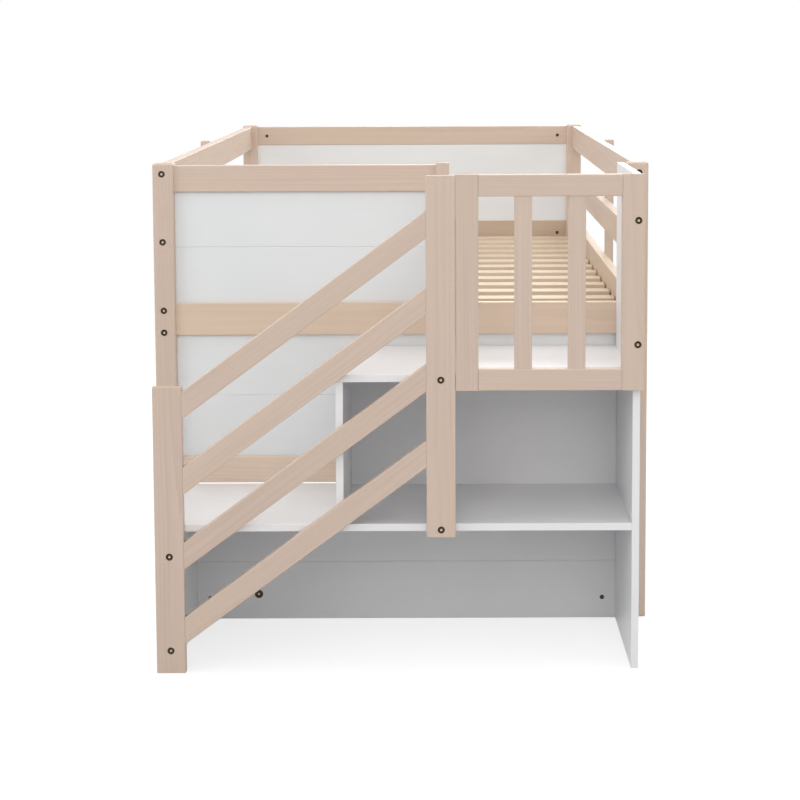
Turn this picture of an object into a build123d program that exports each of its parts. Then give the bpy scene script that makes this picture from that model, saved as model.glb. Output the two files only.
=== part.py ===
from build123d import *
import os
from math import atan2, cos, sqrt

# Low loft bed: a raised bed frame of natural wood, with a white stair and cubby unit across its foot.
# Millimetres. +Z is up, +X is to the right seen from the stair, and +Y runs from the stair to the head.
# The origin is on the floor, under the middle of the whole piece.

# Bed frame
bed_width = 1067.0              # over the posts
bed_length = 2000.0             # over the posts
bed_height = 1000.0             # floor to post tops
post_size = 45.0
post_rounding = 3.5

# Rails
rail_thickness = 22.0
rail_rounding = 2.0
end_rail_setback = 10.0         # end rails behind the posts' end faces
side_rail_setback = 5.5         # side rails inside the posts' outer faces
rail_drop = 4.0                 # top rails below the post tops
end_top_rail_height = 57.0
end_bed_rail_height = 70.0
end_lower_rail_height = 58.0
end_lower_rail_top = 359.0
bed_rail_top = 697.0            # tops of the four rails round the slats
side_top_rail_height = 70.0
guard_rail_height = 66.0
guard_rail_gap = 79.0           # guard rail below the top rail
side_rail_height = 90.0
side_stile_width = 45.0
side_stile_thickness = 20.0
entry_post_left = 76.0          # left edge of the short post beside the entry
entry_post_width = 29.0
entry_post_depth = 32.0

# Tongue-and-groove boards in the ends
board_thickness = 10.0
board_setback = 20.0            # board faces behind the posts' end faces
boards_per_panel = 2
groove_depth = 8.0
groove_clearance = 0.2
tongue_thickness = 4.0
tongue_depth = 6.0
board_joint_bevel = 1.5

# Slats and the ledgers that carry them
slat_count = 15
slat_width = 58.0
slat_thickness = 14.0
slat_end_gap = 3.5              # slat ends to the side rails
slat_row_gap = 1.0              # first and last slat to the posts
ledger_width = 20.0
ledger_height = 27.0
slat_rounding = 1.5

# Stair and cubby unit
stair_depth = 375.0             # from the foot posts to the front of the stair
panel_thickness = 15.0
panel_rounding = 1.0
front_board_thickness = 22.0
step_top = 299.0
platform_top = 601.0
cubby_width = 576.5             # clear width inside the cubby
panel_post_gap = 7.0            # right panel to foot post
back_groove_height = 128.0      # V line across the back panel
back_groove_depth = 1.5

# Stair front
stair_post_gap = 2.0
stair_post_width = 58.0
stair_post_height = 580.0
middle_board_left = 56.0
middle_board_width = 58.0
middle_board_drop = 7.0         # below the step's underside
middle_board_top_drop = 2.0     # below the post tops
stair_rail_count = 4
stair_rail_width = 44.0
stair_rail_inset = 1.0          # each face inside the faces of the posts it joins
highest_rail_drop_at_post = 9.0
highest_rail_drop_at_board = 69.0
lowest_rail_top_at_post = 114.0

# Guard at the platform's front
guard_gap = 0.6                 # guard to middle board
guard_overhang = 5.5            # past the right panel's outer face
guard_drop = 14.0               # below the platform's underside
guard_stile_width = 45.0
guard_frame_height = 43.0       # height of its top and bottom rails
guard_slat_count = 2
guard_slat_width = 34.5
guard_slat_inset = 2.0

# Connector bolts and barrel nuts
bolt_diameter = 6.0
bolt_head_diameter = 13.5
bolt_head_height = 2.5
bolt_head_sink = 0.5
bolt_socket_width = 4.0
bolt_socket_depth = 1.8
bolt_socket_mouth = 3.6         # radius of the sloping mouth of the socket
bolt_mouth_depth = 1.0
bolt_bore_clearance = 0.25
bolt_head_clearance = 0.5
bolt_run_out = 3.0              # shank beyond the nut
nut_diameter = 10.0
nut_length = 12.0
nut_backset = 29.0              # nut centre behind the joint
nut_slot_width = 1.6
nut_slot_depth = 1.5
side_bolt_inset = 20.0          # bolt axis inside the posts' outer side faces
top_bolt_drop = 18.0            # side top rail bolt below the rail's top
guard_bolt_drop = 16.0          # guard rail bolt below the rail's top
side_bolt_drop = 15.0           # upper bolt of the side rail below its top
side_bolt_rise = 27.0           # lower bolt of the side rail above its bottom
edge_bolt_margin = 46.0         # bolts from the ends of the stair's lower panels
guard_bolt_margin = 91.0        # bolts from the ends of the guard
hardware_clearance = 0.1
hole_end_gap = 0.2

# Bolt and nut of the back panel
tie_bolt_offset = 135.0         # from the left panel's inner face
tie_bolt_height = 55.0
tie_bolt_head_diameter = 18.0
hex_nut_width = 10.0
hex_nut_height = 5.0

# Dowels
dowel_diameter = 8.0
dowel_length = 30.0
small_dowel_diameter = 6.0
dowel_end_gap = 0.5
dowel_face_depth = 10.0         # into the face of a thin panel
guard_dowel_spacing = 20.0

# Cam locks
cam_diameter = 14.8
cam_height = 12.0
cam_sink = 0.3
cam_backset = 27.0              # cam centre to joint
cam_front_offset = 105.0        # front cam behind the panels' front edges
cam_back_offset = 30.0          # rear cam from the panels' back edges
cam_bolt_diameter = 7.0
cam_bolt_neck_diameter = 4.5
cam_bolt_head_length = 3.0
cam_bolt_neck_length = 7.0
cam_bolt_thread_diameter = 5.0
cam_bolt_thread_length = 10.5

# Wood screws
screw_diameter = 4.0
screw_head_diameter = 8.0
screw_head_height = 3.0
screw_length = 35.0
screw_tip_length = 5.0
screw_recess_width = 4.4
screw_recess_depth = 1.2
screw_recess_slot = 1.0
ledger_screw_count = 7
stile_screw_spacing = 24.0

# Places that follow from the sizes above
half_width = bed_width / 2
foot_y = (stair_depth - bed_length) / 2
head_y = foot_y + bed_length
post_inner_x = half_width - post_size
side_rail_x = (half_width - side_rail_setback - rail_thickness, half_width - side_rail_setback)
side_rail_middle_x = sum(side_rail_x) / 2
side_bolt_x = half_width - side_bolt_inset
side_stile_x = (side_rail_x[1], side_rail_x[1] + side_stile_thickness)
ledger_x = (side_rail_x[0] - ledger_width, side_rail_x[0])
between_posts_y = (foot_y + post_size, head_y - post_size)
bed_middle_y = (foot_y + head_y) / 2
end_rail_middle = end_rail_setback + rail_thickness / 2
entry_post_x = (entry_post_left, entry_post_left + entry_post_width)

rail_top = bed_height - rail_drop
end_top_rail_z = (rail_top - end_top_rail_height, rail_top)
end_bed_rail_z = (bed_rail_top - end_bed_rail_height, bed_rail_top)
end_lower_rail_z = (end_lower_rail_top - end_lower_rail_height, end_lower_rail_top)
side_top_rail_z = (rail_top - side_top_rail_height, rail_top)
guard_rail_top = side_top_rail_z[0] - guard_rail_gap
guard_rail_z = (guard_rail_top - guard_rail_height, guard_rail_top)
side_rail_z = (bed_rail_top - side_rail_height, bed_rail_top)
ledger_z = (side_rail_z[0], side_rail_z[0] + ledger_height)
slat_z = (ledger_z[1], ledger_z[1] + slat_thickness)

stair_front_y = foot_y - stair_depth
front_board_y = (stair_front_y, stair_front_y + front_board_thickness)
front_board_middle_y = sum(front_board_y) / 2
panel_y = (front_board_y[1], foot_y + end_rail_setback)
back_panel_y = (panel_y[1] - panel_thickness, panel_y[1])
back_panel_middle_y = sum(back_panel_y) / 2
platform_y = (front_board_y[1], foot_y + board_setback - groove_clearance)
right_panel_x = (post_inner_x - panel_post_gap - panel_thickness, post_inner_x - panel_post_gap)
stair_post_left = stair_post_gap - post_inner_x
stair_post_x = (stair_post_left, stair_post_left + stair_post_width)
left_panel_middle_x = sum(stair_post_x) / 2
left_panel_x = (left_panel_middle_x - panel_thickness / 2, left_panel_middle_x + panel_thickness / 2)
cubby_wall_right = right_panel_x[0] - cubby_width
cubby_wall_x = (cubby_wall_right - panel_thickness, cubby_wall_right)
middle_board_x = (middle_board_left, middle_board_left + middle_board_width)
step_z = (step_top - panel_thickness, step_top)
platform_z = (platform_top - panel_thickness, platform_top)
guard_x = (middle_board_x[1] + guard_gap, right_panel_x[1] + guard_overhang)
guard_z = (platform_z[0] - guard_drop, bed_height)

slat_first_y = between_posts_y[0] + slat_row_gap + slat_width / 2
slat_last_y = between_posts_y[1] - slat_row_gap - slat_width / 2
slat_pitch = (slat_last_y - slat_first_y) / (slat_count - 1)

# The bored wood and panels by node name, the end boards, the hardware by kind, and the holes it needs
nodes = {}
end_boards = {}
hardware = {kind: [] for kind in (
    "post_bolts", "end_rail_bolts", "stair_bolts", "barrel_nuts", "hex_nut",
    "dowels", "stair_rail_dowels", "cam_locks", "cam_bolts", "wood_screws")}
holes = []


def span(a, b):
    """Two ends in order."""
    return (min(a, b), max(a, b))


def middle(pair):
    """The place halfway between two ends."""
    return (pair[0] + pair[1]) / 2


def block(x, y, z):
    """A square-edged block, each of its three spans a (low, high) pair."""
    size = [high - low for low, high in (x, y, z)]
    return Pos(middle(x), middle(y), middle(z)) * Box(*size)


def rail(x, y, z, along, rounding=rail_rounding):
    """A length of wood with its long edges rounded and its ends cut square."""
    wood = block(x, y, z)
    return fillet(wood.edges().filter_by(along), rounding)


def panel(x, y, z):
    """A flat panel with every edge eased."""
    board = block(x, y, z)
    return fillet(board.edges(), panel_rounding)


def along_z(radius, low, high):
    """A round bar on the local Z axis."""
    return Pos(0, 0, (low + high) / 2) * Cylinder(radius, high - low)


def end_inward(end):
    """The direction from an end frame's outside to its inside, along Y."""
    return 1 if end == "foot" else -1


def end_depth(end, depth):
    """The place that lies a depth inside an end's post faces."""
    return foot_y + depth if end == "foot" else head_y - depth


def end_span(end, depth, thickness):
    """The Y span of a piece that starts a depth inside an end's post faces."""
    return span(end_depth(end, depth), end_depth(end, depth + thickness))


def bolt_solid(length, head_diameter):
    """A flat-headed bolt on local +Z, with its seat at the underside of its head."""
    seat = bolt_head_sink + bolt_head_height
    head = along_z(head_diameter / 2, bolt_head_sink, seat)
    head = chamfer(head.edges().sort_by(Axis.Z)[0], bolt_head_height / 4)
    shank = along_z(bolt_diameter / 2, seat, length)
    shank = chamfer(shank.edges().sort_by(Axis.Z)[-1], bolt_diameter / 8)
    socket = extrude(RegularPolygon(bolt_socket_width / sqrt(3), 6), bolt_socket_depth)
    mouth = Pos(0, 0, bolt_mouth_depth / 2) * Cone(bolt_socket_mouth, bolt_socket_mouth / 2, bolt_mouth_depth)
    return head + shank - Pos(0, 0, bolt_head_sink) * (socket + mouth)


def bolt_bore(length, head_diameter):
    """The bore and the sunk seat for such a bolt."""
    seat = bolt_head_sink + bolt_head_height
    bore = along_z(bolt_diameter / 2 + bolt_bore_clearance, 0, length + hole_end_gap)
    return bore + along_z(head_diameter / 2 + bolt_head_clearance, 0, seat)


def bolted_joint(kind, face, inward, through, nut_way, nut_open):
    """A bolt from a point on a face, through one piece and into a barrel nut in the next.

    inward is the bolt's direction and through the thickness under its head. The nut lies
    across the bolt. nut_way points to the face that it is slid in from, nut_open away.
    """
    length = through + nut_backset + nut_diameter / 2 + bolt_run_out
    seat = Plane(origin=face, z_dir=inward)
    hardware[kind].append(seat * bolt_solid(length, bolt_head_diameter))
    holes.append(seat * bolt_bore(length, bolt_head_diameter))
    centre = Vector(*face) + Vector(*inward) * (through + nut_backset)
    across = Plane(origin=centre, x_dir=inward, z_dir=nut_way)
    nut = along_z(nut_diameter / 2, -nut_length / 2, nut_length / 2)
    nut -= Rot(0, 90, 0) * Cylinder(bolt_diameter / 2 + hardware_clearance, 2 * nut_diameter)
    nut -= Pos(0, 0, nut_length / 2) * Box(2 * nut_diameter, nut_slot_width, 2 * nut_slot_depth)
    hardware["barrel_nuts"].append(across * nut)
    nut_radius = nut_diameter / 2 + hardware_clearance
    holes.append(across * along_z(nut_radius, -nut_length / 2 - hole_end_gap, nut_open))


def dowel(kind, joint, way, depth=dowel_length / 2, diameter=dowel_diameter):
    """A wooden dowel across a joint: it goes a depth into the piece that way points to."""
    place = Plane(origin=joint, z_dir=way)
    pin = along_z(diameter / 2, depth - dowel_length, depth)
    hardware[kind].append(place * chamfer(pin.edges().filter_by(GeomType.CIRCLE), diameter / 10))
    radius = diameter / 2 + hardware_clearance
    holes.append(place * along_z(radius, depth - dowel_length - dowel_end_gap, depth + dowel_end_gap))


def cam_joint(face, outward, reach):
    """A cam lock in the face of a thin panel, and its bolt into the panel that reach points to."""
    place = Plane(origin=face, x_dir=reach, z_dir=outward)
    axis = Pos(0, 0, -panel_thickness / 2) * Rot(0, 90, 0)
    cam = along_z(cam_diameter / 2, -cam_sink - cam_height, -cam_sink)
    pocket = along_z(cam_bolt_diameter / 2 + hardware_clearance, -cam_bolt_head_length, cam_diameter)
    slots = Box(cam_diameter / 2, nut_slot_width, 2 * nut_slot_depth)
    slots += Box(nut_slot_width, cam_diameter / 2, 2 * nut_slot_depth)
    hardware["cam_locks"].append(place * (cam - axis * pocket - Pos(0, 0, -cam_sink) * slots))
    neck_end = cam_bolt_head_length + cam_bolt_neck_length
    thread_end = cam_backset + cam_bolt_thread_length
    pin = along_z(cam_bolt_diameter / 2, 0, cam_bolt_head_length)
    pin += along_z(cam_bolt_neck_diameter / 2, cam_bolt_head_length, neck_end)
    pin += along_z(cam_bolt_diameter / 2, neck_end, cam_backset)
    pin += along_z(cam_bolt_thread_diameter / 2, cam_backset, thread_end)
    hardware["cam_bolts"].append(place * (axis * pin))
    bore = along_z(cam_bolt_diameter / 2 + hardware_clearance, 0, cam_backset)
    bore += along_z(cam_bolt_thread_diameter / 2 + hardware_clearance, cam_backset, thread_end + hole_end_gap)
    seat = along_z(cam_diameter / 2 + hardware_clearance, -cam_sink - cam_height - hole_end_gap, 0)
    holes.append(place * (seat + axis * bore))


def screw_profile(clearance):
    """Half of a countersunk screw's outline, turned about local Z: head, shank and tip."""
    head = screw_head_diameter / 2 + clearance
    shank = screw_diameter / 2 + clearance
    tip_start = screw_length - screw_tip_length
    outline = Polyline(
        (0, 0), (head, 0), (shank, screw_head_height), (shank, tip_start), (0, screw_length + clearance),
        close=True)
    return revolve(Plane.XZ * make_face(outline), Axis.Z)


def screw(face, inward):
    """A countersunk wood screw, flush with the face that it is driven into."""
    place = Plane(origin=face, z_dir=inward)
    recess = Box(screw_recess_width, screw_recess_slot, 2 * screw_recess_depth)
    recess += Box(screw_recess_slot, screw_recess_width, 2 * screw_recess_depth)
    hardware["wood_screws"].append(place * (screw_profile(0) - recess))
    holes.append(place * screw_profile(hardware_clearance))


def make_posts():
    """Four square posts, rounded on their long edges and at both ends."""
    for end in ("foot", "head"):
        for name, side in (("left", -1), ("right", 1)):
            wood = block(span(side * post_inner_x, side * half_width),
                         end_span(end, 0, post_size), (0, bed_height))
            nodes[f"{end}_{name}_post"] = [fillet(wood.edges(), post_rounding)]


def make_boards(stem, end, x, z):
    """Tongue-and-groove boards that fill an opening of an end, let into grooves all round."""
    low, high = z[0] - groove_depth, z[1] + groove_depth
    x_span = (x[0] - groove_depth, x[1] + groove_depth)
    y = end_span(end, board_setback, board_thickness)
    groove_y = (y[0] - groove_clearance, y[1] + groove_clearance)
    groove_x = (x_span[0] - groove_clearance, x_span[1] + groove_clearance)
    holes.append(block(groove_x, groove_y, (low, high + groove_clearance)))
    height = (high - low) / boards_per_panel
    tongue_y = (middle(y) - tongue_thickness / 2, middle(y) + tongue_thickness / 2)
    slot_y = (tongue_y[0] - groove_clearance, tongue_y[1] + groove_clearance)
    for number in range(boards_per_panel):
        bottom = low + number * height
        top = bottom + height
        board = block(x_span, y, (bottom, top))
        if number < boards_per_panel - 1:
            board = chamfer(board.edges().filter_by(Axis.X).group_by(Axis.Z)[-1], board_joint_bevel)
            board += block(x_span, tongue_y, (top - tongue_depth, top + tongue_depth))
        if number > 0:
            board = chamfer(board.edges().filter_by(Axis.X).group_by(Axis.Z)[0], board_joint_bevel)
            board -= block(x_span, slot_y, (bottom, bottom + tongue_depth + groove_clearance))
        end_boards[f"{stem}_{number + 1}"] = [board]


def make_end(end):
    """An end frame: three rails between the posts and boards in the openings between them."""
    width = (-post_inner_x, post_inner_x)
    top_x = (-post_inner_x, entry_post_x[0]) if end == "foot" else width
    y = end_span(end, end_rail_setback, rail_thickness)
    nodes[f"{end}_top_rail"] = [rail(top_x, y, end_top_rail_z, Axis.X)]
    nodes[f"{end}_bed_rail"] = [rail(width, y, end_bed_rail_z, Axis.X)]
    nodes[f"{end}_lower_rail"] = [rail(width, y, end_lower_rail_z, Axis.X)]
    make_boards(f"{end}_upper_board", end, top_x, (end_bed_rail_z[1], end_top_rail_z[0]))
    make_boards(f"{end}_lower_board", end, width, (end_lower_rail_z[1], end_bed_rail_z[0]))


def make_entry_post():
    """The short post at the edge of the entry, on the foot bed rail."""
    nodes["entry_post"] = [rail(entry_post_x, end_span("foot", 0, entry_post_depth),
                                (bed_rail_top, bed_height), Axis.Z)]


def make_sides():
    """On each side three long rails, the stile outside them and the ledger for the slats."""
    for name, side in (("left", -1), ("right", 1)):
        x = span(side * side_rail_x[0], side * side_rail_x[1])
        nodes[f"{name}_top_rail"] = [rail(x, between_posts_y, side_top_rail_z, Axis.Y)]
        nodes[f"{name}_guard_rail"] = [rail(x, between_posts_y, guard_rail_z, Axis.Y)]
        nodes[f"{name}_side_rail"] = [rail(x, between_posts_y, side_rail_z, Axis.Y)]
        stile_y = (bed_middle_y - side_stile_width / 2, bed_middle_y + side_stile_width / 2)
        stile_x = span(side * side_stile_x[0], side * side_stile_x[1])
        nodes[f"{name}_middle_stile"] = [rail(stile_x, stile_y, (side_rail_z[0], bed_height), Axis.Z)]
        strip_x = span(side * ledger_x[0], side * ledger_x[1])
        nodes[f"{name}_slat_ledger"] = [rail(strip_x, between_posts_y, ledger_z, Axis.Y, slat_rounding)]


def make_slats():
    """The row of slats across the bed, evenly spaced between the posts."""
    reach = side_rail_x[0] - slat_end_gap
    slats = []
    for number in range(slat_count):
        y = slat_first_y + number * slat_pitch
        slats.append(rail((-reach, reach), (y - slat_width / 2, y + slat_width / 2), slat_z,
                          Axis.X, slat_rounding))
    nodes["bed_slats"] = slats


def make_stair_unit():
    """The white panels: two sides, step, platform, the cubby's wall and back, and the lower back."""
    nodes["stair_left_panel"] = [panel(left_panel_x, panel_y, (0, step_z[0]))]
    nodes["stair_right_panel"] = [panel(right_panel_x, panel_y, (0, bed_height))]
    nodes["lower_step"] = [panel((left_panel_x[0], right_panel_x[0]), panel_y, step_z)]
    nodes["platform"] = [panel((cubby_wall_x[0], right_panel_x[0]), platform_y, platform_z)]
    nodes["cubby_wall"] = [panel(cubby_wall_x, panel_y, (step_top, platform_z[0]))]
    nodes["cubby_back"] = [panel((cubby_wall_x[1], right_panel_x[0]), back_panel_y,
                                 (step_top, platform_z[0]))]
    back = panel((left_panel_x[1], right_panel_x[0]), back_panel_y, (0, step_z[0]))
    line = Rot(45, 0, 0) * Box(bed_width, back_groove_depth * sqrt(2), back_groove_depth * sqrt(2))
    nodes["stair_back_panel"] = [back - Pos(0, back_panel_y[0], back_groove_height) * line]


def stair_rail_tops(number):
    """The top edge's height at the stair post and at the middle board, the highest rail first."""
    at_post = stair_post_height - highest_rail_drop_at_post
    spacing = (at_post - lowest_rail_top_at_post) / (stair_rail_count - 1)
    at_board = bed_height - middle_board_top_drop - highest_rail_drop_at_board
    return at_post - number * spacing, at_board - number * spacing


def stair_rail_upright_height():
    """How high a slanting rail measures on its upright cut ends."""
    at_post, at_board = stair_rail_tops(0)
    slope = atan2(at_board - at_post, middle_board_x[0] - stair_post_x[1])
    return stair_rail_width / cos(slope)


def make_stair_front():
    """The stair post, the tall middle board and the slanting rails between them."""
    board_z = (step_z[0] - middle_board_drop, bed_height - middle_board_top_drop)
    nodes["stair_post"] = [rail(stair_post_x, front_board_y, (0, stair_post_height), Axis.Z)]
    nodes["middle_board"] = [rail(middle_board_x, front_board_y, board_z, Axis.Z)]
    height = stair_rail_upright_height()
    left, right = stair_post_x[1], middle_board_x[0]
    for number in range(stair_rail_count):
        at_post, at_board = stair_rail_tops(number)
        outline = Polyline((left, at_post - height), (right, at_board - height),
                           (right, at_board), (left, at_post), close=True)
        wood = extrude(Plane.XZ * make_face(outline), front_board_thickness - 2 * stair_rail_inset)
        wood = Pos(0, front_board_y[1] - stair_rail_inset, 0) * wood
        long_edges = wood.edges().filter_by(lambda edge: edge.length > right - left)
        nodes[f"stair_rail_{number + 1}"] = [fillet(long_edges, rail_rounding)]


def guard_slat_middles():
    """The slats' middles across the guard, with equal gaps between them and the stiles."""
    inner = (guard_x[0] + guard_stile_width, guard_x[1] - guard_stile_width)
    gap = (inner[1] - inner[0] - guard_slat_count * guard_slat_width) / (guard_slat_count + 1)
    return [inner[0] + gap * (number + 1) + guard_slat_width * (number + 0.5)
            for number in range(guard_slat_count)]


def make_guard():
    """The guard at the platform's front: two stiles, two rails and upright slats."""
    inner_x = (guard_x[0] + guard_stile_width, guard_x[1] - guard_stile_width)
    inner_z = (guard_z[0] + guard_frame_height, guard_z[1] - guard_frame_height)
    nodes["guard_left_stile"] = [rail((guard_x[0], inner_x[0]), front_board_y, guard_z, Axis.Z)]
    nodes["guard_right_stile"] = [rail((inner_x[1], guard_x[1]), front_board_y, guard_z, Axis.Z)]
    nodes["guard_top_rail"] = [rail(inner_x, front_board_y, (inner_z[1], guard_z[1]), Axis.X)]
    nodes["guard_bottom_rail"] = [rail(inner_x, front_board_y, (guard_z[0], inner_z[0]), Axis.X)]
    y = (front_board_y[0] + guard_slat_inset, front_board_y[1] - guard_slat_inset)
    for number, x in enumerate(guard_slat_middles()):
        slat_x = (x - guard_slat_width / 2, x + guard_slat_width / 2)
        nodes[f"guard_slat_{number + 1}"] = [rail(slat_x, y, inner_z, Axis.Z)]


def side_bolt_heights():
    """The heights of the post bolts: one in the top rail and the guard rail, two in the side rail."""
    return (side_top_rail_z[1] - top_bolt_drop, guard_rail_z[1] - guard_bolt_drop,
            side_rail_z[1] - side_bolt_drop, side_rail_z[0] + side_bolt_rise)


def join_sides():
    """Bolts through the posts into the side rails, with a dowel beside them in each rail."""
    top_bolt, guard_bolt, upper_bolt, lower_bolt = side_bolt_heights()
    nut_open = side_bolt_x - side_rail_x[0]
    dowel_heights = (middle((side_top_rail_z[0], top_bolt)), middle((guard_rail_z[0], guard_bolt)),
                     middle((upper_bolt, lower_bolt)))
    for end in ("foot", "head"):
        inward = (0, end_inward(end), 0)
        for side in (-1, 1):
            for z in side_bolt_heights():
                bolted_joint("post_bolts", (side * side_bolt_x, end_depth(end, 0), z), inward,
                             post_size, (-side, 0, 0), nut_open)
            for z in dowel_heights:
                dowel("dowels", (side * side_rail_middle_x, end_depth(end, post_size), z), inward)


def join_end_rails():
    """Bolts through the posts into the end rails, each with a dowel above it."""
    upper_bolt, lower_bolt = side_bolt_heights()[2:]
    rails = (("top", middle(end_top_rail_z), end_top_rail_z[1]),
             ("bed", middle((upper_bolt, lower_bolt)), end_bed_rail_z[1] - groove_depth),
             ("lower", middle(end_lower_rail_z), end_lower_rail_z[1] - groove_depth))
    for end in ("foot", "head"):
        y = end_depth(end, end_rail_middle)
        for rail_name, bolt_z, solid_top in rails:
            for side in (-1, 1):
                face, joint, through = side * half_width, side * post_inner_x, post_size
                if end == "foot" and rail_name == "top" and side == 1:
                    face, joint, through = entry_post_x[1], entry_post_x[0], entry_post_width
                bolted_joint("end_rail_bolts", (face, y, bolt_z), (-side, 0, 0), through,
                             (0, end_inward(end), 0), rail_thickness / 2)
                dowel("dowels", (joint, y, middle((bolt_z, solid_top))), (-side, 0, 0))
    groove_end = entry_post_x[0] + groove_depth
    dowel("dowels", (middle((groove_end, entry_post_x[1])), end_depth("foot", end_rail_middle),
                     bed_rail_top), (0, 0, 1))


def fix_slats():
    """Screws that hold the slats on the ledgers, the ledgers and the outer stiles on the rails."""
    for side in (-1, 1):
        for number in range(slat_count):
            screw((side * middle(ledger_x), slat_first_y + number * slat_pitch, slat_z[1]), (0, 0, -1))
        for number in range(ledger_screw_count):
            gap = round(number * (slat_count - 2) / (ledger_screw_count - 1))
            y = slat_first_y + (gap + 0.5) * slat_pitch
            screw((side * ledger_x[0], y, middle(ledger_z)), (side, 0, 0))
        above_slats = (slat_z[1], side_rail_z[1])
        for z in (middle(side_top_rail_z), middle(guard_rail_z), middle(above_slats)):
            for offset in (-stile_screw_spacing / 2, stile_screw_spacing / 2):
                screw((side * side_rail_x[0], bed_middle_y + offset, z), (side, 0, 0))


def join_stair_front():
    """Bolts through the stair post, middle board and guard into the edges of the panels."""
    front = stair_front_y
    half_panel = panel_thickness / 2
    for z in (edge_bolt_margin, step_z[0] - edge_bolt_margin):
        bolted_joint("stair_bolts", (left_panel_middle_x, front, z), (0, 1, 0),
                     front_board_thickness, (-1, 0, 0), half_panel)
    for z in (middle(step_z), middle(platform_z)):
        bolted_joint("stair_bolts", (middle(middle_board_x), front, z), (0, 1, 0),
                     front_board_thickness, (0, 0, -1), half_panel)
    for z in (guard_z[0] + guard_bolt_margin, guard_z[1] - guard_bolt_margin):
        bolted_joint("stair_bolts", (middle(right_panel_x), front, z), (0, 1, 0),
                     front_board_thickness, (1, 0, 0), half_panel)
    for x in (middle((guard_x[0] + guard_stile_width, guard_slat_middles()[0])),
              middle((guard_x[1] - guard_stile_width, guard_slat_middles()[-1]))):
        dowel("dowels", (x, front_board_y[1], middle(platform_z)), (0, 1, 0))


def join_guard():
    """Dowels between the guard's rails, stiles and slats."""
    y = front_board_middle_y
    for z in (guard_z[0] + guard_frame_height / 2, guard_z[1] - guard_frame_height / 2):
        for offset in (-guard_dowel_spacing / 2, guard_dowel_spacing / 2):
            dowel("dowels", (guard_x[0] + guard_stile_width, y, z + offset), (1, 0, 0))
            dowel("dowels", (guard_x[1] - guard_stile_width, y, z + offset), (1, 0, 0))
    for x in guard_slat_middles():
        dowel("dowels", (x, y, guard_z[0] + guard_frame_height), (0, 0, 1))
        dowel("dowels", (x, y, guard_z[1] - guard_frame_height), (0, 0, 1))


def join_stair_rails():
    """Two small dowels at each end of a slanting rail, kept inside its slope."""
    height = stair_rail_upright_height()
    inner, outer = height / 12, height / 3
    for number in range(stair_rail_count):
        at_post, at_board = stair_rail_tops(number)
        for offset in (-inner, outer):
            dowel("stair_rail_dowels", (stair_post_x[1], front_board_middle_y,
                                        at_post - height / 2 + offset),
                  (1, 0, 0), diameter=small_dowel_diameter)
            dowel("stair_rail_dowels", (middle_board_x[0], front_board_middle_y,
                                        at_board - height / 2 - offset),
                  (-1, 0, 0), diameter=small_dowel_diameter)


def join_panels():
    """Cam locks at the panels' corners, bolts and dowels round the two back panels."""
    front, back = panel_y[0] + cam_front_offset, panel_y[1] - cam_back_offset
    for y in (front, back):
        cam_joint((cubby_wall_x[1], y, platform_z[0] - cam_backset), (1, 0, 0), (0, 0, 1))
        cam_joint((cubby_wall_x[1], y, step_top + cam_backset), (1, 0, 0), (0, 0, -1))
        cam_joint((left_panel_x[1], y, step_z[0] - cam_backset), (1, 0, 0), (0, 0, 1))
        cam_joint((right_panel_x[0] - cam_backset, y, platform_z[0]), (0, 0, -1), (1, 0, 0))
        cam_joint((right_panel_x[0] - cam_backset, y, step_z[0]), (0, 0, -1), (1, 0, 0))
    y = back_panel_middle_y
    for z in (edge_bolt_margin, step_z[0] - edge_bolt_margin):
        bolted_joint("stair_bolts", (left_panel_x[0], y, z), (1, 0, 0), panel_thickness,
                     (0, -1, 0), panel_thickness / 2)
        bolted_joint("stair_bolts", (right_panel_x[1], y, z), (-1, 0, 0), panel_thickness,
                     (0, -1, 0), panel_thickness / 2)
    edge_depth = dowel_length - dowel_face_depth
    cubby = (cubby_wall_x[1], right_panel_x[0])
    under_step = (left_panel_x[1], right_panel_x[0])
    for share in (0.2, 0.8):
        across_cubby = cubby[0] + share * (cubby[1] - cubby[0])
        dowel("dowels", (across_cubby, y, step_top), (0, 0, 1), edge_depth)
        dowel("dowels", (across_cubby, y, platform_z[0]), (0, 0, -1), edge_depth)
        across_step = under_step[0] + share * (under_step[1] - under_step[0])
        dowel("dowels", (across_step, y, step_z[0]), (0, 0, -1), edge_depth)
        up_cubby = step_top + share * (platform_z[0] - step_top)
        dowel("dowels", (cubby[0], y, up_cubby), (1, 0, 0), edge_depth)
        dowel("dowels", (cubby[1], y, up_cubby), (-1, 0, 0), edge_depth)


def fit_tie_bolt():
    """The dark bolt through the lower back panel, with a nut behind."""
    x = left_panel_x[1] + tie_bolt_offset
    place = Plane(origin=(x, back_panel_y[0], tie_bolt_height), z_dir=(0, 1, 0))
    length = panel_thickness + hex_nut_height + bolt_run_out
    hardware["stair_bolts"].append(place * bolt_solid(length, tie_bolt_head_diameter))
    holes.append(place * bolt_bore(panel_thickness, tie_bolt_head_diameter))
    nut = extrude(RegularPolygon(hex_nut_width / sqrt(3), 6), hex_nut_height)
    nut -= Cylinder(bolt_diameter / 2 + hardware_clearance, 4 * hex_nut_height)
    hardware["hex_nut"].append(place * (Pos(0, 0, panel_thickness) * nut))


def boxes_meet(a, b):
    """Whether two bounding boxes overlap."""
    return all(a_low < b_high and b_low < a_high for a_low, a_high, b_low, b_high in (
        (a.min.X, a.max.X, b.min.X, b.max.X),
        (a.min.Y, a.max.Y, b.min.Y, b.max.Y),
        (a.min.Z, a.max.Z, b.min.Z, b.max.Z)))


def bored(wood, hole_boxes):
    """A solid with every hole that passes through it."""
    box = wood.bounding_box()
    near = [hole for hole, hole_box in hole_boxes if boxes_meet(box, hole_box)]
    return wood - near if near else wood


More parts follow.
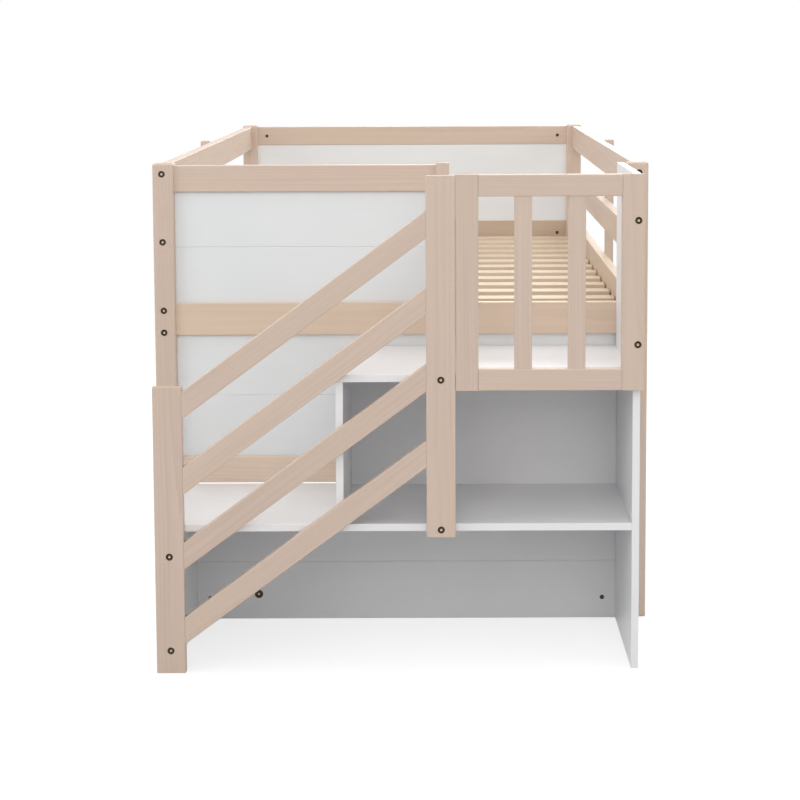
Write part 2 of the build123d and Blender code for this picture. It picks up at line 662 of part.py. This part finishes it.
def make_all():
    """Make the wood and panels, work out the joints, bore the holes and write one file a node."""
    make_posts()
    make_entry_post()
    make_sides()
    make_slats()
    make_stair_unit()
    make_stair_front()
    make_guard()
    for end in ("foot", "head"):
        make_end(end)
    join_sides()
    join_end_rails()
    fix_slats()
    join_stair_front()
    join_guard()
    join_stair_rails()
    join_panels()
    fit_tie_bolt()
    hole_boxes = [(hole, hole.bounding_box()) for hole in holes]
    os.makedirs("parts", exist_ok=True)
    for name, solids in nodes.items():
        write_node(name, [bored(solid, hole_boxes) for solid in solids])
    for name, solids in (end_boards | hardware).items():
        write_node(name, solids)


def write_node(name, shapes):
    """One node's solids, in one file."""
    solids = [solid for shape in shapes for solid in shape.solids()]
    export_step(Compound(solids), f"parts/{name}.step")


make_all()
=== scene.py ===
import random
from math import atan2, pi, radians

import bpy
from mathutils import Euler, Matrix, Vector


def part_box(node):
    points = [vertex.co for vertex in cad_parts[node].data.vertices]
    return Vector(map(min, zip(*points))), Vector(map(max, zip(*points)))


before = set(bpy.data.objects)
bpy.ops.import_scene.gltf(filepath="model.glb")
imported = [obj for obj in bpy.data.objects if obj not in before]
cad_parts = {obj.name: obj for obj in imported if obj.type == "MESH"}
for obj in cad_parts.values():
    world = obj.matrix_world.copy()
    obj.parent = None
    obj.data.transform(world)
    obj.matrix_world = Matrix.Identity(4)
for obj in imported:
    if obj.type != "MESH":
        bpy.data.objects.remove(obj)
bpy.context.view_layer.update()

# Low loft bed: the finishes of its wood, panels and hardware, with a plain studio and the camera.
# Metres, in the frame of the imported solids. All the shapes are the solids' own.

chance = random.Random(41)

# Camera, fitted to the edges of the bed
CAMERA_PLACE = (0.0798, -4.9551, 1.2527)
CAMERA_PITCH = radians(5.77)       # below level
CAMERA_YAW = radians(-0.05)        # to the right
CAMERA_ROLL = radians(-0.20)
CAMERA_LENS = 86.9
CAMERA_SHIFT = (-0.045, -0.20)

# Which way the wood runs
ALONG_X = (
    "foot_top_rail", "foot_bed_rail", "foot_lower_rail", "head_top_rail", "head_bed_rail",
    "head_lower_rail", "guard_top_rail", "guard_bottom_rail")
ALONG_Y = (
    "left_top_rail", "left_guard_rail", "left_side_rail",
    "right_top_rail", "right_guard_rail", "right_side_rail")
UPRIGHT = (
    "foot_left_post", "foot_right_post", "head_left_post", "head_right_post", "entry_post",
    "left_middle_stile", "right_middle_stile", "stair_post", "middle_board",
    "guard_left_stile", "guard_right_stile", "guard_slat_1", "guard_slat_2")
SLANTING = ("stair_rail_1", "stair_rail_2", "stair_rail_3", "stair_rail_4")
LEDGERS = ("left_slat_ledger", "right_slat_ledger")
PAINTED_BOARDS = tuple(
    f"{end}_{part}_board_{number}"
    for end in ("foot", "head") for part in ("upper", "lower") for number in (1, 2))
COATED_PANELS = (
    "stair_left_panel", "stair_right_panel", "lower_step", "platform",
    "cubby_wall", "cubby_back", "stair_back_panel")
BOLT_PARTS = ("post_bolts", "end_rail_bolts", "stair_bolts")
DARK_FITTINGS = ("barrel_nuts", "cam_locks")
ZINC_PARTS = ("hex_nut", "cam_bolts", "wood_screws")
DOWEL_PARTS = ("dowels", "stair_rail_dowels")

# Boards made paler, darker or yellower than the rest, partly the wood's own tone and partly painted
# light and shade for how each one is lit: red, green and blue
BOARD_TINTS_AND_PAINTED_LIGHT = {
    "foot_bed_rail": (1.13, 1.12, 1.06), "foot_lower_rail": (1.20, 1.21, 1.19),
    "head_bed_rail": (0.82, 0.81, 0.74), "head_top_rail": (0.98, 0.99, 0.97),
    "left_side_rail": (1.00, 0.99, 0.92), "right_side_rail": (1.03, 1.02, 0.93)}

TURN_FROM_X = (0.0, 0.0, 0.0)
TURN_FROM_Y = (0.0, 0.0, -pi / 2)
TURN_FROM_Z = (0.0, pi / 2, 0.0)

SLAT_COUNT = 15
SLANTING_CUT = 0.0532              # upright height of a slanting rail's cut end

# The staged floor's levels, from 0 to 1
FLOOR_BOUNCE = 0.62                # how much light it sends back to the bed
FLOOR_SHADE = 0.45                 # how much of its lighting and shadow is seen
FLOOR_GLOW = 0.67                  # what is added to that, to reach white outside the shadow

SURROUND_STRENGTH = 0.46

# Soft lamps: name, place, the point it aims at, width and height in metres, watts
LAMPS = (
    ("overhead", (0.0, -0.3, 3.4), (0.0, -0.3, 0.0), 3.2, 3.2, 50.0),
    ("front_high", (0.0, -4.9, 4.2), (0.0, -0.6, 0.55), 3.6, 2.4, 36.0),
    ("front", (0.0, -6.0, 2.6), (0.0, -0.6, 0.5), 3.6, 1.8, 54.0),
    ("front_left", (-4.4, -3.4, 2.6), (0.0, -0.4, 0.55), 3.0, 2.4, 54.0),
    ("front_right", (4.4, -3.4, 2.6), (0.0, -0.4, 0.55), 3.0, 2.4, 42.0),
    ("side_left", (-4.8, 0.8, 2.4), (0.0, 0.3, 0.6), 3.0, 2.4, 50.0),
    ("side_right", (4.8, 0.8, 2.4), (0.0, 0.3, 0.6), 3.0, 2.4, 54.0),
    ("rear", (1.0, 5.4, 2.8), (0.0, 0.6, 0.5), 3.0, 2.4, 95.0))


def shade(red, green, blue):
    """A colour as seen, 0 to 255, turned into the linear colour that a shader takes."""
    seen = [value / 255 for value in (red, green, blue)]
    return tuple(v / 12.92 if v <= 0.04045 else ((v + 0.055) / 1.055) ** 2.4 for v in seen) + (1.0,)


def put(tree, kind, inputs=None, **settings):
    """A shader node with its settings and inputs. An input is a value or another node's output."""
    node = tree.nodes.new("ShaderNode" + kind)
    for name, value in settings.items():
        setattr(node, name, value)
    for name, value in (inputs or {}).items():
        if isinstance(value, bpy.types.NodeSocket):
            tree.links.new(value, node.inputs[name])
        else:
            node.inputs[name].default_value = value
    return node


def calc(tree, operation, first, second=0.0, clamp=False):
    """One sum of two numbers or outputs."""
    return put(tree, "Math", {0: first, 1: second}, operation=operation, use_clamp=clamp).outputs[0]


def fit(tree, value, low, high, to_low=0.0, to_high=1.0):
    """A value between low and high, carried to between to_low and to_high and kept there."""
    return put(tree, "MapRange", {
        "Value": value, "From Min": low, "From Max": high, "To Min": to_low, "To Max": to_high,
    }).outputs["Result"]


def blend(tree, share, first, second, mode="MIX"):
    """Two colours mixed, with the share of the second."""
    node = put(tree, "Mix", {0: share, 6: first, 7: second}, data_type="RGBA", blend_type=mode)
    return node.outputs[2]


def stretch(tree, place, length):
    """A place squeezed along X, so that what is drawn on it comes out that many times longer."""
    return put(tree, "Mapping", {"Vector": place, "Scale": (1 / length, 1.0, 1.0)}).outputs[0]


def noise(tree, place, size, detail=2.0, colour=False):
    """Soft noise whose patches measure about size metres."""
    node = put(tree, "TexNoise", {"Vector": place, "Scale": 1 / size, "Detail": detail})
    return node.outputs["Color" if colour else "Fac"]


def worn_edges(tree, reach):
    """1 at a sharp edge and 0 on a flat face: how far the surface turns within reach."""
    soft = put(tree, "Bevel", {"Radius": reach}, samples=4).outputs["Normal"]
    true = put(tree, "NewGeometry").outputs["Normal"]
    same = put(tree, "VectorMath", {0: soft, 1: true}, operation="DOT_PRODUCT").outputs["Value"]
    return fit(tree, same, 0.995, 0.80)


def relief(tree, height, depth):
    """Bumps depth metres high where height goes from 0 to 1."""
    return put(tree, "Bump", {"Height": height, "Distance": depth}).outputs["Normal"]


def new_group(name, inputs, outputs):
    """An empty node group with named inputs and outputs, and its two end nodes."""
    group = bpy.data.node_groups.new(name, "ShaderNodeTree")
    for socket, kind in inputs:
        group.interface.new_socket(socket, in_out="INPUT", socket_type="NodeSocket" + kind)
    for socket, kind in outputs:
        group.interface.new_socket(socket, in_out="OUTPUT", socket_type="NodeSocket" + kind)
    return group, group.nodes.new("NodeGroupInput"), group.nodes.new("NodeGroupOutput")


SURFACE_INPUTS = (("Place", "Vector"), ("Facing", "Vector"))
SURFACE_OUTPUTS = (("Colour", "Color"), ("Roughness", "Float"), ("Normal", "Vector"))


def finish_group(tree, end, colour, roughness, normal):
    """Joins a group's three results to its end node."""
    for name, value in (("Colour", colour), ("Roughness", roughness), ("Normal", normal)):
        tree.links.new(value, end.inputs[name])
    return tree


def sawn_wood_group():
    """Wood with its grain along X: growth rings round a pith beside the board, fibres and pores.

    The rings are cylinders about X, pushed sideways by slow noise, so a face along the grain
    shows long wandering lines and a cut end shows arcs.
    """
    tree, start, end = new_group("sawn_wood", SURFACE_INPUTS + (
        ("Early wood", "Color"), ("Late wood", "Color"), ("Warm", "Color"), ("Figure", "Float")),
        SURFACE_OUTPUTS)
    place = start.outputs["Place"]
    sway = noise(tree, stretch(tree, place, length=9.0), size=0.09, detail=1.0, colour=True)
    sway = put(tree, "VectorMath", {0: sway, 1: (0.5, 0.5, 0.5)}, operation="SUBTRACT").outputs[0]
    sway = put(
        tree, "VectorMath", {0: sway, 1: (0.0, 0.016, 0.016)}, operation="MULTIPLY").outputs[0]
    swayed = put(tree, "VectorMath", {0: place, 1: sway}, operation="ADD").outputs[0]
    rings = put(tree, "TexWave", {
        "Vector": swayed, "Scale": 74.0, "Distortion": 0.8, "Detail": 2.0, "Detail Scale": 0.5},
        wave_type="RINGS", rings_direction="X", wave_profile="SAW").outputs["Fac"]
    late = calc(tree, "POWER", rings, 2.0)
    streaks = noise(tree, stretch(tree, swayed, length=40.0), size=0.011, detail=2.0)
    streaks = fit(tree, streaks, 0.30, 0.70)
    fibres = noise(tree, stretch(tree, place, length=60.0), size=0.0011, detail=2.0)
    pores = noise(tree, stretch(tree, place, length=9.0), size=0.00055, detail=1.0)
    pores = fit(tree, pores, 0.63, 0.72)
    tint = noise(tree, stretch(tree, place, length=3.0), size=0.12, detail=1.0)
    tint = fit(tree, tint, 0.30, 0.70)

    facing = put(tree, "SeparateXYZ", {0: start.outputs["Facing"]}).outputs[0]
    cut_end = fit(tree, calc(tree, "ABSOLUTE", facing), 0.75, 0.95)
    edge = calc(tree, "MULTIPLY", worn_edges(tree, reach=0.0022), fit(
        tree, noise(tree, place, size=0.02, detail=2.0), 0.35, 0.65))

    figure = calc(tree, "MULTIPLY", late, 0.42)
    figure = calc(tree, "ADD", figure, calc(tree, "MULTIPLY", streaks, 0.38))
    figure = calc(tree, "ADD", figure, calc(tree, "MULTIPLY", fibres, 0.22))
    figure = calc(tree, "MULTIPLY", figure, start.outputs["Figure"], clamp=True)
    colour = blend(tree, figure, start.outputs["Early wood"], start.outputs["Late wood"])
    colour = blend(tree, calc(tree, "MULTIPLY", tint, 0.6), colour, start.outputs["Warm"])
    colour = blend(tree, calc(tree, "MULTIPLY", pores, 0.10), colour, shade(150, 118, 90))
    colour = blend(
        tree, calc(tree, "MULTIPLY", cut_end, 0.75), colour, (0.84, 0.77, 0.69, 1.0), "MULTIPLY")
    colour = blend(tree, calc(tree, "MULTIPLY", edge, 0.22), colour, shade(226, 208, 190))

    roughness = calc(tree, "ADD", fit(tree, streaks, 0.0, 1.0, 0.50, 0.58),
                     calc(tree, "MULTIPLY", cut_end, 0.15))
    roughness = calc(tree, "SUBTRACT", roughness, calc(tree, "MULTIPLY", edge, 0.08))
    height = calc(
        tree, "ADD", calc(tree, "MULTIPLY", fibres, 0.6), calc(tree, "MULTIPLY", late, 0.25))
    height = calc(tree, "SUBTRACT", height, calc(tree, "MULTIPLY", pores, 0.7))
    return finish_group(tree, end, colour, roughness, relief(tree, height, depth=0.00016))


def brushed_paint_group():
    """White satin paint on planed boards: the wood's fibres show faintly through along X."""
    tree, start, end = new_group("brushed_paint", SURFACE_INPUTS, SURFACE_OUTPUTS)
    place = start.outputs["Place"]
    fibres = noise(tree, stretch(tree, place, length=45.0), size=0.0016, detail=2.0)
    strokes = noise(tree, stretch(tree, place, length=14.0), size=0.007, detail=2.0)
    cloud = noise(tree, place, size=0.18, detail=2.0)
    edge = calc(tree, "MULTIPLY", worn_edges(tree, reach=0.0018), fit(
        tree, noise(tree, place, size=0.012, detail=2.0), 0.45, 0.60))
    colour = blend(tree, fit(tree, cloud, 0.3, 0.7), shade(223, 226, 228), shade(226, 228, 229))
    colour = blend(tree, fit(tree, strokes, 0.35, 0.75, 0.0, 0.16), colour, shade(219, 220, 218))
    colour = blend(tree, calc(tree, "MULTIPLY", edge, 0.30), colour, shade(207, 202, 192))
    roughness = fit(tree, strokes, 0.3, 0.7, 0.36, 0.46)
    height = calc(
        tree, "ADD", calc(tree, "MULTIPLY", fibres, 0.5), calc(tree, "MULTIPLY", strokes, 0.5))
    return finish_group(tree, end, colour, roughness, relief(tree, height, depth=0.00010))


def coated_panel_group():
    """A white coated board: a pebbled film, faint smudges, and corners rubbed a little grey."""
    tree, start, end = new_group("coated_panel", SURFACE_INPUTS, SURFACE_OUTPUTS)
    place = start.outputs["Place"]
    pebbles = noise(tree, place, size=0.0014, detail=1.0)
    smudges = noise(tree, place, size=0.09, detail=3.0)
    cloud = noise(tree, place, size=0.30, detail=1.0)
    edge = calc(tree, "MULTIPLY", worn_edges(tree, reach=0.0014), fit(
        tree, noise(tree, place, size=0.010, detail=2.0), 0.48, 0.62))
    colour = blend(tree, fit(tree, cloud, 0.3, 0.7), shade(231, 231, 233), shade(233, 232, 232))
    colour = blend(tree, fit(tree, smudges, 0.50, 0.80, 0.0, 0.12), colour, shade(216, 216, 213))
    colour = blend(tree, calc(tree, "MULTIPLY", edge, 0.35), colour, shade(200, 197, 190))
    roughness = fit(tree, smudges, 0.35, 0.70, 0.34, 0.44)
    return finish_group(tree, end, colour, roughness, relief(tree, pebbles, depth=0.00005))


def bronzed_steel_group():
    """Dark bronze coating on steel, blotched. Wear rubs its edges, and the occluded hollow of its
    socket is painted near white: partly bare steel worn by the key, partly a painted highlight.
    """
    tree, start, end = new_group(
        "bronzed_steel", SURFACE_INPUTS + (("Wear and socket highlight", "Float"),), SURFACE_OUTPUTS)
    place = start.outputs["Place"]
    blotch = fit(tree, noise(tree, place, size=0.0022, detail=3.0), 0.35, 0.65)
    grit = noise(tree, place, size=0.0005, detail=2.0)
    rubbed = calc(tree, "MULTIPLY", worn_edges(tree, reach=0.0009), fit(tree, grit, 0.35, 0.60))
    openness = put(
        tree, "AmbientOcclusion", {"Distance": 0.005}, samples=8, only_local=True).outputs["AO"]
    colour = blend(tree, blotch, shade(46, 36, 29), shade(76, 61, 48))
    rubbed = calc(tree, "MULTIPLY", calc(tree, "MULTIPLY", rubbed, 0.7), start.outputs["Wear and socket highlight"])
    # Painted highlight: where occlusion marks the socket's hollow, the colour turns near white,
    # partly bare steel rubbed by the key and partly a highlight painted in.
    socket_wear_and_highlight = calc(tree, "MULTIPLY", fit(tree, openness, 0.80, 0.50), start.outputs["Wear and socket highlight"])
    colour = blend(tree, rubbed, colour, shade(190, 174, 150))
    colour = blend(tree, socket_wear_and_highlight, colour, shade(244, 238, 226))
    roughness = fit(tree, blotch, 0.0, 1.0, 0.32, 0.46)
    return finish_group(tree, end, colour, roughness, relief(tree, grit, depth=0.00003))


def zinc_plate_group():
    """Zinc plating: pale grey, faintly yellow and blue in patches, with a fine spangle."""
    tree, start, end = new_group("zinc_plate", SURFACE_INPUTS, SURFACE_OUTPUTS)
    place = start.outputs["Place"]
    patch = fit(tree, noise(tree, place, size=0.004, detail=2.0), 0.35, 0.65)
    spangle = put(tree, "TexVoronoi", {"Vector": place, "Scale": 900.0}).outputs["Color"]
    spangle = put(tree, "SeparateColor", {0: spangle}).outputs[0]
    colour = blend(tree, patch, shade(188, 188, 182), shade(176, 180, 188))
    colour = blend(tree, calc(tree, "MULTIPLY", spangle, 0.25), colour, shade(214, 214, 210))
    roughness = fit(tree, spangle, 0.0, 1.0, 0.28, 0.40)
    return finish_group(tree, end, colour, roughness, relief(tree, spangle, depth=0.00002))


GROUPS = {
    "wood": sawn_wood_group(), "paint": brushed_paint_group(), "coating": coated_panel_group(),
    "bronze": bronzed_steel_group(), "zinc": zinc_plate_group()}


def grain_place(piece, turn, slip):
    """Where a pattern with its length along X has to start to run along the piece.

    The piece's middle goes to slip, and the turn takes the piece's long way to X.
    """
    low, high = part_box(piece)
    middle = (low + high) / 2
    return Vector(slip) - Euler(turn).to_matrix() @ middle


def surface(name, group, turn, place, own_inputs=None, **shader):
    """A material whose colour, roughness and relief come from one of the groups."""
    material = bpy.data.materials.new(name)
    material.use_nodes = True
    tree = material.node_tree
    tree.nodes.clear()
    coordinates = put(tree, "TexCoord")
    where = put(tree, "Mapping", {
        "Vector": coordinates.outputs["Object"], "Location": place, "Rotation": turn}).outputs[0]
    facing = put(tree, "Mapping", {
        "Vector": coordinates.outputs["Normal"], "Rotation": turn}, vector_type="VECTOR").outputs[0]
    pattern = put(
        tree, "Group", {"Place": where, "Facing": facing, **(own_inputs or {})},
        node_tree=GROUPS[group])
    skin = put(tree, "BsdfPrincipled", {
        "Base Color": pattern.outputs["Colour"], "Roughness": pattern.outputs["Roughness"],
        "Normal": pattern.outputs["Normal"], **shader})
    tree.links.new(skin.outputs[0], put(tree, "OutputMaterial").inputs[0])
    return material


def dress(piece, material):
    """Puts a finish on every material slot of a solid."""
    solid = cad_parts[piece]
    if not solid.material_slots:
        solid.data.materials.append(material)
    for slot in solid.material_slots:
        slot.material = material


def tone(colour, tint_and_painted_light):
    """A colour with its red, green and blue each changed a little."""
    return tuple(min(1.0, value * part) for value, part in zip(colour, tint_and_painted_light)) + (1.0,)


def wood_slip():
    """A board's place in its tree: the pith 50 to 120 mm off, anywhere along the trunk."""
    side = chance.choice((-1, 1))
    return (
        chance.uniform(-20, 20), side * chance.uniform(0.05, 0.12), chance.uniform(-0.06, 0.06))


def board_turn(turn):
    """The turn that lays a board along X, then rolls it a little and tips its pith slightly."""
    roll = Euler((
        chance.uniform(-0.4, 0.4), chance.uniform(-0.005, 0.005), chance.uniform(-0.005, 0.005)))
    return tuple((roll.to_matrix() @ Euler(turn).to_matrix()).to_euler())


def natural_wood(piece, turn):
    """Pale clear wood under a thin matt lacquer, with its own piece of tree for each board."""
    turn = board_turn(turn)
    lot = chance.uniform(0.975, 1.025)
    # Painted light and shade: the table's tints lift or lower some boards for how they are lit, on
    # top of a random tone for each board.
    tint_and_painted_light = [lot * part for part in BOARD_TINTS_AND_PAINTED_LIGHT.get(piece, (1.0, 1.0, 1.0))]
    dress(piece, surface(
        f"{piece}_wood", "wood", turn, grain_place(piece, turn, wood_slip()),
        {"Early wood": tone(shade(208, 188, 174), tint_and_painted_light),
         "Late wood": tone(shade(189, 166, 149), tint_and_painted_light),
         "Warm": tone(shade(204, 184, 165), tint_and_painted_light), "Figure": chance.uniform(0.65, 0.90)},
        **{"Coat Weight": 0.10, "Coat Roughness": 0.40}))


def bare_wood(piece, turn):
    """Planed bare wood, a little yellower."""
    dress(piece, surface(
        f"{piece}_bare", "wood", turn, grain_place(piece, turn, wood_slip()),
        {"Early wood": shade(218, 200, 179), "Late wood": shade(195, 170, 142),
         "Warm": shade(213, 190, 161), "Figure": 1.0}))


def slat_wood():
    """The same bare wood on the slats, with another piece of tree for each slat."""
    material = surface(
        "slat_bare", "wood", TURN_FROM_X, grain_place("bed_slats", TURN_FROM_X, (0.0, 0.0, 0.09)),
        {"Early wood": shade(219, 201, 180), "Late wood": shade(196, 171, 143),
         "Warm": shade(214, 191, 162), "Figure": 1.0})
    tree = material.node_tree
    low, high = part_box("bed_slats")
    pitch = (high.y - low.y) / SLAT_COUNT
    coordinates = put(tree, "TexCoord").outputs["Object"]
    across = put(tree, "SeparateXYZ", {0: coordinates}).outputs[1]
    number = calc(tree, "FLOOR", calc(tree, "DIVIDE", calc(tree, "SUBTRACT", across, low.y), pitch))
    lot = put(tree, "TexWhiteNoise", {"W": number}, noise_dimensions="1D").outputs["Color"]
    jump = put(tree, "VectorMath", {0: lot, 1: (9.0, 0.10, 0.10)}, operation="MULTIPLY").outputs[0]
    pattern = next(node for node in tree.nodes if node.type == "GROUP")
    where = pattern.inputs["Place"].links[0].from_socket
    moved = put(tree, "VectorMath", {0: where, 1: jump}, operation="ADD").outputs[0]
    tree.links.new(moved, pattern.inputs["Place"])
    dress("bed_slats", material)


def slope_turn(piece):
    """The turn that lays a slanting rail's length along X, from the rails' ends and height."""
    low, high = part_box(piece)
    return (0.0, atan2(high.z - low.z - SLANTING_CUT, high.x - low.x), 0.0)


def finish_pieces():
    """Every piece gets its finish."""
    for piece in ALONG_X:
        natural_wood(piece, TURN_FROM_X)
    for piece in ALONG_Y:
        natural_wood(piece, TURN_FROM_Y)
    for piece in UPRIGHT:
        natural_wood(piece, TURN_FROM_Z)
    for piece in SLANTING:
        natural_wood(piece, slope_turn(piece))
    for piece in LEDGERS:
        bare_wood(piece, TURN_FROM_Y)
    slat_wood()
    for piece in PAINTED_BOARDS:
        slip = (chance.uniform(-9, 9), chance.uniform(-1, 1), 0.0)
        dress(piece, surface(f"{piece}_paint", "paint", TURN_FROM_X, slip))
    for piece in COATED_PANELS:
        slip = (chance.uniform(-9, 9), chance.uniform(-9, 9), 0.0)
        dress(piece, surface(f"{piece}_coating", "coating", TURN_FROM_X, slip))
    # The bolts take the full edge wear and painted socket highlight; the barrel nuts and cam locks
    # take a little of it.
    bronze = surface(
        "bronzed_steel", "bronze", TURN_FROM_X, (0.0, 0.0, 0.0), {"Wear and socket highlight": 1.0}, Metallic=1.0)
    dark = surface(
        "bronzed_fittings", "bronze", TURN_FROM_X, (0.0, 0.0, 0.0), {"Wear and socket highlight": 0.15}, Metallic=1.0)
    zinc = surface("zinc_plate", "zinc", TURN_FROM_X, (0.0, 0.0, 0.0), Metallic=1.0)
    for piece in BOLT_PARTS:
        dress(piece, bronze)
    for piece in DARK_FITTINGS:
        dress(piece, dark)
    for piece in ZINC_PARTS:
        dress(piece, zinc)
    for piece in DOWEL_PARTS:
        dress(piece, surface(
            f"{piece}_beech", "wood", TURN_FROM_X, (0.0, 0.08, 0.0),
            {"Early wood": shade(214, 187, 152), "Late wood": shade(188, 154, 116),
             "Warm": shade(205, 172, 134), "Figure": 1.0}))


def grey(level):
    """A grey, or white at 1, in the linear values that a shader takes."""
    return (level, level, level, 1.0)


def seen_ray(tree):
    """1 for rays of the camera, gloss and glass, and 0 for the rays that only light things."""
    path = put(tree, "LightPath")
    seen = calc(tree, "MAXIMUM", path.outputs["Is Camera Ray"], path.outputs["Is Glossy Ray"])
    return calc(tree, "MAXIMUM", seen, path.outputs["Is Transmission Ray"])


def make_world(strength):
    """A surround that is seen white and lights the object with the given strength."""
    world = bpy.data.worlds.new("surround")
    bpy.context.scene.world = world
    world.use_nodes = True
    tree = world.node_tree
    tree.nodes.clear()
    level = fit(tree, seen_ray(tree), 0.0, 1.0, strength, 1.0)
    glow = put(tree, "Background", {"Color": grey(1.0), "Strength": level})
    tree.links.new(glow.outputs[0], put(tree, "OutputWorld").inputs[0])


def make_floor(size, near, far):
    """A pale floor, size metres each way, that shows the bed's shadow.

    It fades to the white surround between near and far metres from the middle.
    """
    mesh = bpy.data.meshes.new("floor")
    corners = [(-size, -size, 0), (size, -size, 0), (size, size, 0), (-size, size, 0)]
    mesh.from_pydata(corners, [], [(0, 1, 2, 3)])
    floor = bpy.data.objects.new("floor", mesh)
    bpy.context.scene.collection.objects.link(floor)
    material = bpy.data.materials.new("floor")
    material.use_nodes = True
    tree = material.node_tree
    tree.nodes.clear()
    seen = seen_ray(tree)
    place = put(tree, "TexCoord").outputs["Object"]
    distance = put(tree, "VectorMath", {0: place}, operation="LENGTH").outputs["Value"]
    away = fit(tree, distance, near, far)
    painted = put(tree, "BsdfDiffuse", {"Color": grey(FLOOR_BOUNCE)}).outputs[0]
    shadowed = put(tree, "BsdfDiffuse", {"Color": grey(FLOOR_SHADE)}).outputs[0]
    lift = put(tree, "Emission", {"Color": grey(1.0), "Strength": FLOOR_GLOW}).outputs[0]
    white = put(tree, "Emission", {"Color": grey(1.0), "Strength": 1.0}).outputs[0]
    close = put(tree, "AddShader", {0: shadowed, 1: lift}).outputs[0]
    shown = put(tree, "MixShader", {0: away, 1: close, 2: white}).outputs[0]
    whole = put(tree, "MixShader", {0: seen, 1: painted, 2: shown}).outputs[0]
    tree.links.new(whole, put(tree, "OutputMaterial").inputs[0])
    mesh.materials.append(material)


def softbox(name, place, target, width, height, power):
    """A large soft lamp, aimed at a point."""
    lamp = bpy.data.lights.new(name, "AREA")
    lamp.shape = "RECTANGLE"
    lamp.size, lamp.size_y = width, height
    lamp.energy = power
    holder = bpy.data.objects.new(name, lamp)
    bpy.context.scene.collection.objects.link(holder)
    holder.location = place
    holder.rotation_euler = (Vector(target) - Vector(place)).to_track_quat("-Z", "Y").to_euler()
    holder.visible_camera = False


def make_studio():
    """Surround, floor and lamps."""
    make_world(SURROUND_STRENGTH)
    make_floor(size=20.0, near=1.9, far=3.6)
    for lamp in LAMPS:
        softbox(*lamp)


def make_camera():
    """The camera at the photograph's viewing angle."""
    lens = bpy.data.cameras.new("camera")
    lens.lens = CAMERA_LENS
    lens.sensor_width = 36.0
    lens.shift_x, lens.shift_y = CAMERA_SHIFT
    lens.clip_end = 100.0
    camera = bpy.data.objects.new("camera", lens)
    bpy.context.scene.collection.objects.link(camera)
    level = Euler((pi / 2 - CAMERA_PITCH, 0.0, -CAMERA_YAW)).to_matrix()
    turned = level @ Matrix.Rotation(CAMERA_ROLL, 3, "Z")
    camera.location = CAMERA_PLACE
    camera.rotation_euler = turned.to_euler()
    bpy.context.scene.camera = camera


make_camera()
finish_pieces()
make_studio()
bpy.context.scene.view_settings.view_transform = "Standard"
